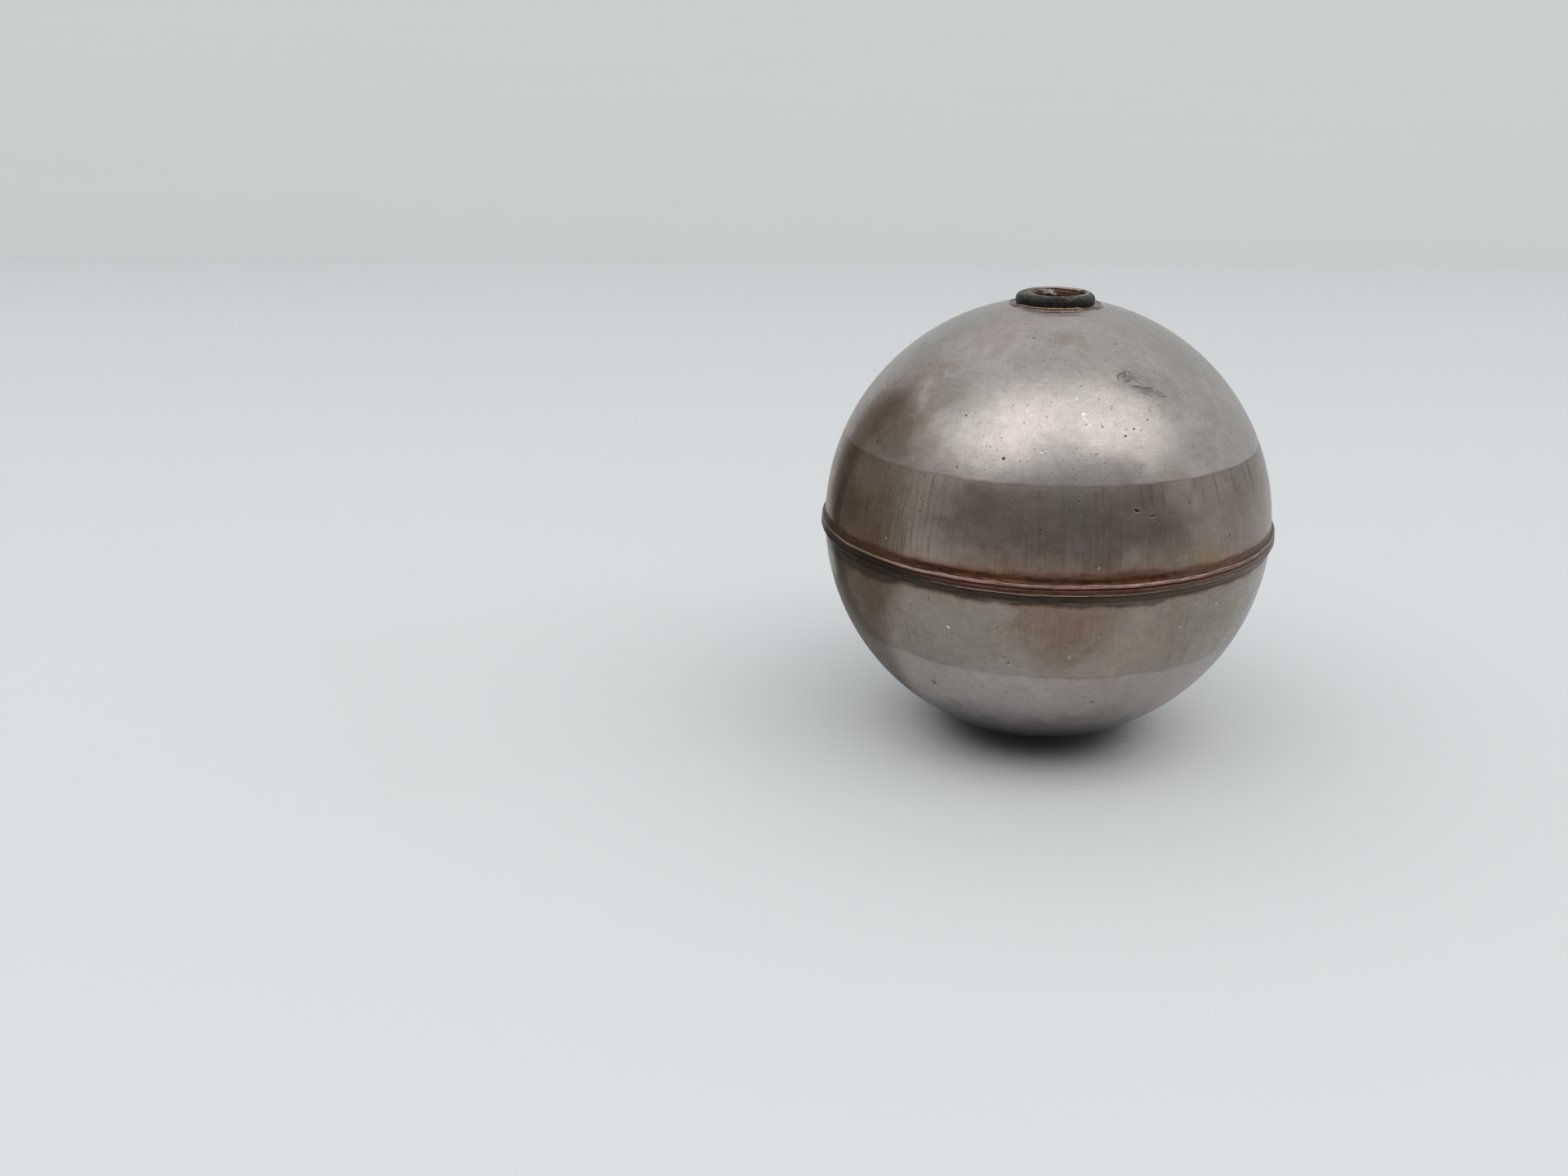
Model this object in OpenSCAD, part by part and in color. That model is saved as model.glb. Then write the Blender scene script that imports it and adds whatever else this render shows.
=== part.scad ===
// Ball float of a float valve: two pressed stainless half shells, brazed together at a
// lipped seam round the equator, with a blind threaded bush brazed into the top.
// The axis of the bush is Z. The origin is the centre of the bush's flat seat, and the
// thread opens along +Z. Every piece is turned about that axis from a flat profile.

/* [Ball] */
// Outside diameter of the ball
ball_d = 63.5; // [50:0.5:120]
// Thickness of the pressed sheet
wall = 0.6; // [0.5:0.05:1.2]

/* [Equator seam] */
// How far the two lips stand out from the ball
lip_reach = 0.5; // [0.3:0.05:2]
// Thickness of the braze film between the lips
seam_film = 0.15; // [0.05:0.05:0.4]
// Leg of the open corner that the pressed bend leaves inside each lip
bend_corner = 0.3; // [0.1:0.05:0.4]
// Height of the braze fillet on the back of each lip
seam_fillet_h = 0.55; // [0.2:0.05:2]
// Bare edge of each lip, outside its fillet
lip_bare = 0.1; // [0.05:0.05:0.2]

/* [Bush] */
// Diameter of the neck that comes out through the shell
neck_d = 10.85; // [10:0.05:14]
// Height of the seat above the top of the ball
seat_rise = 1.05; // [0.9:0.05:6]
// Radius of the neck's rounded rim
rim_r = 0.9; // [0.3:0.05:1.2]
// Diameter of the flange that bears on the inside of the shell
flange_d = 16; // [15:0.5:24]
// Thickness of the flange at its edge
flange_t = 1.5; // [0.8:0.1:3]

/* [Threaded hole] */
// Minor diameter of the thread, as drilled for a 5/16-18 tap
thread_minor_d = 6.54; // [4:0.02:7]
// Diameter of the countersunk mouth
mouth_d = 7.9; // [7.2:0.1:8.6]
// Depth of the straight part of the hole, below the seat
hole_depth = 9; // [5:0.5:16]
// Angle of the drill point at the hole's end
drill_angle = 118; // [90:1:140]
// Metal left below the drill point
end_wall = 1.2; // [0.8:0.1:3]

/* [Bush braze] */
// Gap round the neck in the shell's hole, filled with braze
neck_gap = 0.1; // [0.05:0.05:0.3]
// Film of braze between the flange and the shell
flange_film = 0.1; // [0.05:0.05:0.3]
// Width of the braze ring round the neck
ring_w = 0.95; // [0.4:0.05:2]
// Height of the braze ring up the neck
ring_h = 0.25; // [0.15:0.05:0.7]
// Leg of the braze fillet round the flange's edge
inner_fillet = 0.8; // [0.3:0.1:1.5]

/* [Hidden] */
// Fine enough for the thin braze runs to keep their volume
$fn = 360;

// Every profile has the ball's centre at its origin, so the seat is at this height
ball_r = ball_d / 2;
inner_r = ball_r - wall;
seat_h = ball_r + seat_rise;

// The seam: each lip lies between half the film and its own back face
lip_r = ball_r + lip_reach;
lip_face = seam_film / 2;
lip_back = lip_face + wall;

// The bush: its flange is cut to the sphere that the braze film leaves
neck_r = neck_d / 2;
shell_hole_r = neck_r + neck_gap;
flange_r = flange_d / 2;
flange_ball_r = inner_r - flange_film;
flange_back = sphere_h(flange_ball_r, flange_r) - flange_t;
thread_r = thread_minor_d / 2;
mouth_r = mouth_d / 2;
sink_h = mouth_r - thread_r;
point_h = thread_r / tan(drill_angle / 2);
bush_h = hole_depth + point_h + end_wall;

// A cutting shape runs past the face that it cuts by this much
past = 1;

// Height of a sphere's surface above its centre, at distance x from the axis
function sphere_h(r, x) = sqrt(r * r - x * x);

// Turns a profile about the axis and sets the bush's seat at the origin
module turned() {
    translate([0, 0, -seat_h]) rotate_extrude() children();
}

// The band of sheet between the inside and the outside of the ball
module sheet_profile() {
    difference() {
        circle(ball_r);
        circle(inner_r);
    }
}

// Half shell above the seam: the dome from the hole's edge down, with an out-turned lip
module half_shell_profile(hole_r) {
    difference() {
        union() {
            intersection() {
                sheet_profile();
                translate([hole_r, lip_face]) square(ball_r);
            }
            translate([inner_r, lip_face]) square([wall + lip_reach, wall]);
        }
        bend_corner_profile();
    }
}

// Open corner inside the lips, where each sheet bends outwards
module bend_corner_profile() {
    polygon([
        [inner_r - past, lip_face + bend_corner + past],
        [inner_r - past, 0],
        [inner_r + bend_corner, 0],
        [inner_r + bend_corner, lip_face],
    ]);
}

// Fillet in the outside corner between the ball and the back of a lip
module seam_fillet_profile() {
    difference() {
        polygon([
            [inner_r, lip_back],
            [lip_r - lip_bare, lip_back],
            [sphere_h(ball_r, lip_back + seam_fillet_h), lip_back + seam_fillet_h],
            [inner_r, lip_back + seam_fillet_h],
        ]);
        circle(ball_r);
    }
}

// Pressed upper half, pierced at the top for the bush's neck
module upper_shell() {
    color("silver") turned() half_shell_profile(shell_hole_r);
}

// Pressed lower half, closed at the bottom
module lower_shell() {
    color("silver") turned() mirror([0, 1]) half_shell_profile(0);
}

// Braze that fills the joint: the film between the lips and the open corner inside it
module seam_braze() {
    color("peru") turned() polygon([
        [lip_r, lip_face],
        [inner_r + bend_corner, lip_face],
        [inner_r, lip_face + bend_corner],
        [inner_r, -lip_face - bend_corner],
        [inner_r + bend_corner, -lip_face],
        [lip_r, -lip_face],
    ]);
}

// Braze run along the top of the seam
module upper_seam_fillet() {
    color("sienna") turned() seam_fillet_profile();
}

// Braze run along the underside of the seam
module lower_seam_fillet() {
    color("sienna") turned() mirror([0, 1]) seam_fillet_profile();
}

// Neck with a rounded rim, and the closed boss below it that holds the threaded hole
module neck_profile() {
    translate([0, seat_h - bush_h]) {
        square([neck_r, bush_h - rim_r]);
        square([neck_r - rim_r, bush_h]);
        translate([neck_r - rim_r, bush_h - rim_r]) circle(rim_r);
    }
}

// Flange whose upper face is a patch of sphere, so that it beds on the inside of the shell
module flange_profile() {
    intersection() {
        circle(flange_ball_r);
        translate([0, flange_back]) square([flange_r, ball_r]);
    }
}

// Countersunk mouth, tapping-size bore and drill point
module hole_profile() {
    polygon([
        [0, seat_h + past],
        [mouth_r, seat_h + past],
        [mouth_r, seat_h],
        [thread_r, seat_h - sink_h],
        [thread_r, seat_h - hole_depth],
        [0, seat_h - hole_depth - point_h],
    ]);
}

// Turned bush with a blind threaded hole, put in from inside before the ball is closed
module threaded_bush() {
    color("dimgray") turned() difference() {
        union() {
            neck_profile();
            flange_profile();
        }
        hole_profile();
    }
}

// Braze ring in the corner round the neck, and the film that it sends down the hole
module bush_braze() {
    film_end = sphere_h(inner_r, shell_hole_r) - past;
    color("peru") turned() difference() {
        polygon([
            [neck_r, film_end],
            [neck_r, sphere_h(ball_r, neck_r) + ring_h],
            [neck_r + ring_w, sphere_h(ball_r, neck_r + ring_w)],
            [neck_r + ring_w, film_end],
        ]);
        intersection() {
            circle(ball_r);
            translate([shell_hole_r, 0]) square(ball_r);
        }
        circle(inner_r);
    }
}

// Braze film over the flange, with a fillet round the flange's edge
module flange_braze() {
    fillet_end = sphere_h(flange_ball_r, flange_r) - inner_fillet;
    fillet_r = flange_r + inner_fillet;
    color("peru") turned() difference() {
        intersection() {
            circle(inner_r);
            polygon([
                [neck_r, ball_r],
                [neck_r, fillet_end],
                [flange_r, fillet_end],
                [fillet_r, sphere_h(inner_r, fillet_r)],
                [fillet_r, ball_r],
            ]);
        }
        intersection() {
            circle(flange_ball_r);
            square([flange_r, ball_r]);
        }
    }
}

upper_shell();
lower_shell();
seam_braze();
upper_seam_fillet();
lower_seam_fillet();
threaded_bush();
bush_braze();
flange_braze();
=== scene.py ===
import math

import bpy
from mathutils import Matrix, Vector


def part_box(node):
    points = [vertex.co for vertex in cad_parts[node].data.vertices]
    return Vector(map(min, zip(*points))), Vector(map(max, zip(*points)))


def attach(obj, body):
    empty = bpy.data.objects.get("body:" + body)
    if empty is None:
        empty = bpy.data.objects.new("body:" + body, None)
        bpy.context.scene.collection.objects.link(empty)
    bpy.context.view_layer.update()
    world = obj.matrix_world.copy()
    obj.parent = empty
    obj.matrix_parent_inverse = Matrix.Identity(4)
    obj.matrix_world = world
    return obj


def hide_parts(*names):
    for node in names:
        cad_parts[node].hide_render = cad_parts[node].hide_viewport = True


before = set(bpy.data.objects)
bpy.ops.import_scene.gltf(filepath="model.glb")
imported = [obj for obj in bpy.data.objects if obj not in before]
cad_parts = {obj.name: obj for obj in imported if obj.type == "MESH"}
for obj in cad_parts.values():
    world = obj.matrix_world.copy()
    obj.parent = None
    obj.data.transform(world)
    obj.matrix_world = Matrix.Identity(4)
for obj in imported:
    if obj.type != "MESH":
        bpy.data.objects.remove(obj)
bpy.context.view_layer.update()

# The float stands on the table on its lower shell, with the threaded bush on top. Every
# height below is in millimetres above the seam, the plane where the two half shells meet.
MM = 0.001
seam_low, seam_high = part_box("seam_braze")
lower_low, lower_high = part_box("lower_shell")
SEAM_Z = (seam_low.z + seam_high.z) / 2
BALL_R = (SEAM_Z - lower_low.z) / MM


# ---------------------------------------------------------------- Camera
# The float is seen from its front, a little above its middle, and stands to the right of
# the middle of the picture. The lens is given for a sensor 36 mm wide.
CAMERA_BACK = 226.2
CAMERA_UP = 69.7
CAMERA_TURNS = (70.18, 0.26, 9.53)
SENSOR = 36
LENS = 36.85
bpy.ops.object.camera_add(
    location=(0, -CAMERA_BACK * MM, SEAM_Z + CAMERA_UP * MM),
    rotation=[math.radians(degrees) for degrees in CAMERA_TURNS])
camera = bpy.context.object
camera.data.sensor_width = SENSOR
camera.data.lens = LENS
camera.data.clip_start = 0.01
bpy.context.scene.camera = camera
bpy.context.scene.view_settings.view_transform = "Standard"


# ---------------------------------------------------------------- Table and backdrop
# A white table top and a painted wall behind it, both matt and very slightly cool. They are
# cut from sheets of 8 m, and the wall is low, so that the room is seen over it in the steel.
SHEET = 8
WALL_BACK = 463
WALL_TALL = 450
WALL_TURN = 5.75
# The table's paint carries a painted contact shadow round the float's foot: dark under it and
# paler beyond, which keeps the shadow as tight as a crowded bench does.
PAINTED_SHADOW_RINGS = [(0, "#828384"), (10, "#828384"), (12, "#a0a1a2"), (13.5, "#bfc1c2"),
              (15.5, "#dcdedf"), (19, "#eef0f1"), (26, "#eff1f2"), (33, "#eaeced"), (42, "#e6e8e9")]


def linear(colour):
    """Turns an sRGB hex colour, such as "#c8c2bd", into linear RGBA."""
    parts = [int(colour[i:i + 2], 16) / 255 for i in (1, 3, 5)]
    return [c / 12.92 if c <= 0.04045 else ((c + 0.055) / 1.055) ** 2.4 for c in parts] + [1.0]


def add_node(tree, kind, inputs=None, out=0, stops=None, **settings):
    """Adds a node with its settings and its links, and gives back the output asked for. Its
    kind leaves out the ShaderNode that they all begin with. Inputs are values or the sockets
    that feed it, and stops are a ramp's colours."""
    made = tree.nodes.new("ShaderNode" + kind)
    for name, value in settings.items():
        setattr(made, name, value)
    for name, value in (inputs or {}).items():
        if isinstance(value, bpy.types.NodeSocket):
            tree.links.new(value, made.inputs[name])
        else:
            made.inputs[name].default_value = value
    for i, (place, colour) in enumerate(stops or []):
        stop = made.color_ramp.elements[i] if i < 2 else made.color_ramp.elements.new(place)
        stop.position = place
        stop.color = linear(colour)
    return made.outputs[out] if len(made.outputs) else None


def new_material(name):
    """An empty node material and its node tree."""
    made = bpy.data.materials.new(name)
    made.use_nodes = True
    made.node_tree.nodes.clear()
    return made, made.node_tree


def matt_paint(name, colour, grain_mm, depth_mm, lift=0.0, rings=()):
    """Matt paint: no shine, a faint unevenness in tone and the tooth of the roller. Lift is a
    little glow of its own, and rings are colours by distance in mm from the piece's middle."""
    made, tree = new_material(name)
    place = add_node(tree, "TexCoord", out="Object")
    cloud = add_node(tree, "TexNoise", {"Vector": place, "Scale": 6.0, "Detail": 3.0})
    tone = add_node(tree, "MapRange", {"Value": cloud, "To Min": 0.985, "To Max": 1.015})
    shade = linear(colour)[:3]
    if rings:
        away = add_node(tree, "VectorMath", {0: place}, out=1, operation="LENGTH")
        part = add_node(tree, "Math", {0: away, 1: rings[-1][0] * MM}, operation="DIVIDE")
        shade = add_node(tree, "ValToRGB", {"Fac": part}, stops=[
            (reach / rings[-1][0], tone_there) for reach, tone_there in rings])
    tint = add_node(tree, "VectorMath", {0: shade, "Scale": tone}, operation="SCALE")
    tooth = add_node(tree, "TexNoise", {
        "Vector": place, "Scale": 1 / (grain_mm * MM), "Detail": 2.0})
    bump = add_node(tree, "Bump", {"Height": tooth, "Strength": 0.4, "Distance": depth_mm * MM})
    paint = add_node(tree, "BsdfPrincipled", {
        "Base Color": tint, "Roughness": 0.9, "Normal": bump,
        "Emission Color": linear(colour), "Emission Strength": lift})
    add_node(tree, "OutputMaterial", {"Surface": paint})
    return made


bpy.ops.object.select_all(action="DESELECT")
bpy.ops.mesh.primitive_plane_add(size=SHEET, location=(0, 0, lower_low.z))
table_top = bpy.context.object
table_top.name = "table_top"
table_top.data.materials.append(matt_paint("table_paint_with_painted_shadow", "#e6e8e9", 0.8, 0.02, rings=PAINTED_SHADOW_RINGS))

bpy.ops.mesh.primitive_plane_add(
    size=SHEET, location=(0, WALL_BACK * MM, lower_low.z + WALL_TALL / 2 * MM),
    rotation=(math.radians(90), 0, math.radians(WALL_TURN)))
wall = bpy.context.object
wall.name = "backdrop"
wall.scale.y = WALL_TALL * MM / SHEET
wall.data.materials.append(matt_paint("wall_paint", "#dee0e1", 1.5, 0.05, lift=0.175))

# A kraft board box stands close to the left of the float, outside what the camera is shown.
# Only the steel sees it, as a brown reflection down the left side of both shells.
BOX_CORNER = (-33.7, -9.8)
BOX_WIDE = 64
BOX_TALL = 66.5
BOX_TURN = 31.3
BOX_LIFT = 0.5
bpy.ops.object.select_all(action="DESELECT")
bpy.ops.mesh.primitive_cube_add(size=1)
kraft_box = bpy.context.object
kraft_box.name = "kraft_box"
bpy.ops.object.mode_set(mode="EDIT")
bpy.ops.mesh.select_all(action="SELECT")
bpy.ops.transform.resize(value=(BOX_WIDE * MM, BOX_WIDE * MM, BOX_TALL * MM))
bpy.ops.transform.translate(value=(-BOX_WIDE / 2 * MM, BOX_WIDE / 2 * MM, BOX_TALL / 2 * MM))
bpy.ops.object.mode_set(mode="OBJECT")
kraft_box.location = (BOX_CORNER[0] * MM, BOX_CORNER[1] * MM, lower_low.z + BOX_LIFT * MM)
kraft_box.rotation_euler = (0, 0, math.radians(BOX_TURN))
kraft_box.data.materials.append(matt_paint("kraft_board", "#9a8673", 1.0, 0.05))
kraft_box.data.materials.append(matt_paint("board_front", "#c4bdb2", 1.0, 0.05))
for face in kraft_box.data.polygons:
    if face.normal.y < -0.9:
        face.material_index = 1

# A grey sheet on the table towards the float, likewise only for the steel: a painted shadow that
# stands for the shade the box throws.
SHADE_SIZE = (36, 59)
SHADE_PLACE = (-33, 22)
SHADE_LIFT = 0.4
bpy.ops.object.select_all(action="DESELECT")
bpy.ops.mesh.primitive_plane_add(size=1)
box_shade = bpy.context.object
box_shade.name = "box_shade"
box_shade.scale = (SHADE_SIZE[0] * MM, SHADE_SIZE[1] * MM, 1)
box_shade.location = (SHADE_PLACE[0] * MM, SHADE_PLACE[1] * MM, lower_low.z + SHADE_LIFT * MM)
box_shade.rotation_euler = (0, 0, math.radians(BOX_TURN))
box_shade.data.materials.append(matt_paint("shaded_table", "#9c9b99", 1.0, 0.05))
for prop in (kraft_box, box_shade):
    for rays in ("camera", "diffuse", "transmission", "shadow", "volume_scatter"):
        setattr(prop, "visible_" + rays, False)


# ---------------------------------------------------------------- Light
# One wide soft panel hangs over the front of the table, turned a little. The room beyond it
# is dim towards the front and brighter overhead, which gives the steel its dark band.
PANEL_HEIGHT = 1000
PANEL_PLACE = (100, -482)
PANEL_SIZE = (2450, 814)
PANEL_TURN = 11
PANEL_POWER = 5.05
bpy.ops.object.light_add(
    type="AREA", rotation=(0, 0, math.radians(PANEL_TURN)),
    location=(PANEL_PLACE[0] * MM, PANEL_PLACE[1] * MM, SEAM_Z + PANEL_HEIGHT * MM))
panel = bpy.context.object
panel.name = "soft_panel"
panel.data.shape = "RECTANGLE"
panel.data.size = PANEL_SIZE[0] * MM
panel.data.size_y = PANEL_SIZE[1] * MM
panel.data.energy = PANEL_POWER
panel.data.color = linear("#fffefd")[:3]

world = bpy.data.worlds.new("room")
bpy.context.scene.world = world
world.use_nodes = True
world.node_tree.nodes.clear()
sky = world.node_tree
direction = add_node(sky, "TexCoord", out="Generated")
up = add_node(sky, "SeparateXYZ", {"Vector": direction}, out="Z")
back = add_node(sky, "SeparateXYZ", {"Vector": direction}, out="Y")
overhead = add_node(sky, "MapRange", {
    "Value": up, "From Min": 0.35, "From Max": 0.75}, interpolation_type="SMOOTHSTEP")
behind = add_node(sky, "MapRange", {
    "Value": back, "From Min": -0.7, "From Max": 0.3}, interpolation_type="SMOOTHSTEP")
lit = add_node(sky, "Math", {0: overhead, 1: behind}, operation="MAXIMUM")
room_colour = add_node(sky, "Mix", {
    0: lit, 6: linear("#918e8b"), 7: linear("#e6eaec")}, out=2, data_type="RGBA")
room_light = add_node(sky, "Background", {"Color": room_colour, "Strength": 1.0})
add_node(sky, "OutputWorld", {"Surface": room_light})


# ---------------------------------------------------------------- Upper half shell
# Half of a ball, deep drawn from 0.6 mm stainless sheet, with its rim turned out to a lip.
# The die ironed a darker band round its lower wall; furnace brazing has browned its foot.
WALL = 0.6
HOLE_R = 5.525
LIP_R = 32.15
LIP_FACE = 0.075
LIP_BACK = 0.675
BEND_CORNER = 0.3
# Degrees up the ball: where the ironed band ends, and where the sheet stops at the bush's
# hole, outside and inside
DRAWN_EDGE = 24.2
HOLE_EDGES = (79.98, 79.78)
SHELL_STEPS = 360
STAIN_REACH = 6.0
DOME_ROUGHNESS = 0.31
BAND_ROUGHNESS = 0.28


def arc(radius, start, end, count):
    """Points (radius from the axis, height) along a circle round the ball's centre, in degrees."""
    turns = [math.radians(start + (end - start) * i / count) for i in range(count + 1)]
    return [(radius * math.cos(t), radius * math.sin(t)) for t in turns]


def half_shell_outline(crown, crown_inside, side):
    """Section of one half shell: down its outside, round the lip and back up its inside."""
    inside_r = BALL_R - WALL
    outline = arc(BALL_R, crown, DRAWN_EDGE + 0.6, 66)

    # The die's edge is a step of less than 0.01 mm, just enough to catch the light
    for step, depth in ((0.25, 0.002), (0.0, 0.008), (-0.25, 0.005)):
        outline += arc(BALL_R - depth, DRAWN_EDGE + step, DRAWN_EDGE, 1)[:1]
    outline += arc(BALL_R, DRAWN_EDGE - 0.8, 1.3, 36)
    outline += [
        (LIP_R - 0.06, LIP_BACK), (LIP_R - 0.015, LIP_BACK - 0.02), (LIP_R, LIP_BACK - 0.065),
        (LIP_R, LIP_FACE + 0.065), (LIP_R - 0.015, LIP_FACE + 0.02), (LIP_R - 0.06, LIP_FACE),
        (inside_r + BEND_CORNER, LIP_FACE), (inside_r, LIP_FACE + BEND_CORNER)]
    outline += arc(inside_r, 0.75, crown_inside, 26)
    return [(radius, side * height) for radius, height in outline]


def turn(name, outline, steps):
    """Turns an outline of (radius, height above the seam) in mm about the ball's axis."""
    bpy.ops.object.select_all(action="DESELECT")
    bpy.ops.mesh.primitive_plane_add(size=MM)
    piece = bpy.context.object
    piece.name = piece.data.name = name
    bpy.ops.object.mode_set(mode="EDIT")
    bpy.ops.mesh.select_all(action="SELECT")
    bpy.ops.mesh.merge(type="CENTER")
    bpy.ops.transform.translate(value=(outline[0][0] * MM, 0, SEAM_Z + outline[0][1] * MM))
    for here, there in zip(outline, outline[1:]):
        bpy.ops.mesh.extrude_vertices_move(TRANSFORM_OT_translate={
            "value": ((there[0] - here[0]) * MM, 0, (there[1] - here[1]) * MM)})
    bpy.ops.mesh.select_all(action="SELECT")
    bpy.ops.mesh.spin(steps=steps, angle=math.tau, center=(0, 0, 0), axis=(0, 0, 1))
    bpy.ops.mesh.select_all(action="SELECT")
    bpy.ops.mesh.remove_doubles(threshold=0.003 * MM)
    bpy.ops.mesh.normals_make_consistent(inside=False)
    bpy.ops.object.mode_set(mode="OBJECT")
    bpy.ops.object.shade_smooth()
    return piece


def uneven(piece, swell_mm, depth_mm, reach, directions="NORMAL"):
    """Lets a turned piece wander from true by soft swells; reach(radius, height) fades them."""
    group = piece.vertex_groups.new(name="wander")
    for vertex in piece.data.vertices:
        radius = math.hypot(vertex.co.x, vertex.co.y) / MM
        weight = reach(radius, (vertex.co.z - SEAM_Z) / MM)
        group.add([vertex.index], min(max(weight, 0.0), 1.0), "REPLACE")
    swells = bpy.data.textures.new(piece.name + "_swells", "CLOUDS")
    swells.noise_scale = swell_mm * MM
    swells.cloud_type = "COLOR"
    wander = piece.modifiers.new("wander", "DISPLACE")
    wander.texture = swells
    wander.texture_coords = "LOCAL"
    wander.direction = directions
    wander.strength = depth_mm * MM
    wander.mid_level = 0.5
    wander.vertex_group = "wander"
    bpy.context.view_layer.objects.active = piece
    bpy.ops.object.modifier_apply(modifier="wander")
    piece.vertex_groups.clear()


def on_ball(turned, raised, above=0.0):
    """A point on the ball in mm from its centre: degrees round from the front, and up."""
    a, b, r = math.radians(turned), math.radians(raised), BALL_R + above
    return (r * math.cos(b) * math.sin(a), -r * math.cos(b) * math.cos(a), r * math.sin(b))


def ball_place(tree):
    """The point being shaded, in mm from the ball's centre. Gives the tree with that place and
    its direction round the axis, as patches need them, then the place alone and its height."""
    place = add_node(tree, "Mapping", {
        "Vector": add_node(tree, "TexCoord", out="Object"),
        "Location": (0, 0, -SEAM_Z / MM), "Scale": (1 / MM, 1 / MM, 1 / MM)})
    flat = add_node(tree, "VectorMath", {0: place, 1: (1, 1, 0)}, operation="MULTIPLY")
    bearing = add_node(tree, "VectorMath", {0: flat}, operation="NORMALIZE")
    height = add_node(tree, "SeparateXYZ", {"Vector": place}, out="Z")
    return (tree, place, bearing), place, height


def mottle(ball, round_mm, up_mm, low, high, detail=2.0, spread=0.22):
    """Soft patches of a given width round the ball and height up it, from low to high."""
    tree, place, bearing = ball
    if round_mm == up_mm:
        spot = add_node(tree, "VectorMath", {0: place, "Scale": 1 / up_mm}, operation="SCALE")
    else:
        along = add_node(tree, "VectorMath", {
            0: bearing, "Scale": BALL_R / round_mm}, operation="SCALE")
        spot = add_node(tree, "VectorMath", {
            0: place, 1: (0, 0, 1 / up_mm), 2: along}, operation="MULTIPLY_ADD")
    noise = add_node(tree, "TexNoise", {"Vector": spot, "Scale": 1.0, "Detail": detail})
    return add_node(tree, "MapRange", {
        "Value": noise, "From Min": 0.5 - spread, "From Max": 0.5 + spread,
        "To Min": low, "To Max": high})


def towards(ball, turned, half_width, amount):
    """Grows from 0 to an amount round one side of the ball, given in degrees from the front."""
    tree, _, bearing = ball
    x, y, _ = on_ball(turned, 0)
    facing = add_node(tree, "VectorMath", {
        0: bearing, 1: (x / BALL_R, y / BALL_R, 0)}, out="Value", operation="DOT_PRODUCT")
    return add_node(tree, "MapRange", {
        "Value": facing, "From Min": math.cos(math.radians(half_width)),
        "From Max": math.cos(math.radians(half_width * 0.3)), "To Max": amount},
        interpolation_type="SMOOTHSTEP")


def coated(tree, colour, coats):
    """Lays coats over a colour, one after another: the share that each covers, and its tone."""
    for share, tone in coats:
        colour = add_node(tree, "Mix", {
            0: share, 6: colour, 7: linear(tone) if isinstance(tone, str) else tone},
            out=2, data_type="RGBA")
    return colour


def marks(tree, place, spots, core):
    """Small marks of ragged outline: degrees round and up, long and wide radius in mm, tilt
    from level in degrees, and strength. The widening makes up for their soft edge."""
    fray_mm = 0.3
    widening = 1.25
    jitter = add_node(tree, "TexNoise", {"Vector": place, "Scale": 3.0, "Detail": 2.0}, out="Color")
    ragged = add_node(tree, "VectorMath", {
        0: jitter, 1: (fray_mm, fray_mm, fray_mm), 2: place}, operation="MULTIPLY_ADD")
    most = 0.0
    for turned, raised, long, wide, tilt, strength in spots:
        x, y, z = on_ball(turned, raised)
        a, b, t = math.radians(turned), math.radians(raised), math.radians(tilt)
        east = Vector((math.cos(a), math.sin(a), 0))
        north = Vector((-math.sin(b) * math.sin(a), math.sin(b) * math.cos(a), math.cos(b)))
        axes = Matrix((
            east * math.cos(t) + north * math.sin(t), north * math.cos(t) - east * math.sin(t),
            east.cross(north))).transposed()
        local = add_node(tree, "Mapping", {
            "Vector": ragged, "Rotation": axes.to_euler(),
            "Location": (x + fray_mm / 2, y + fray_mm / 2, z + fray_mm / 2),
            "Scale": (widening * long, widening * wide, widening * long)},
            vector_type="TEXTURE")
        within = add_node(tree, "TexGradient", {"Vector": local}, out=1, gradient_type="SPHERICAL")
        here = add_node(tree, "Math", {0: within, 1: strength / (1 - core)}, operation="MULTIPLY")
        here = add_node(tree, "Math", {0: here, 1: strength}, operation="MINIMUM")
        most = add_node(tree, "Math", {0: most, 1: here}, operation="MAXIMUM")
    return most


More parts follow.
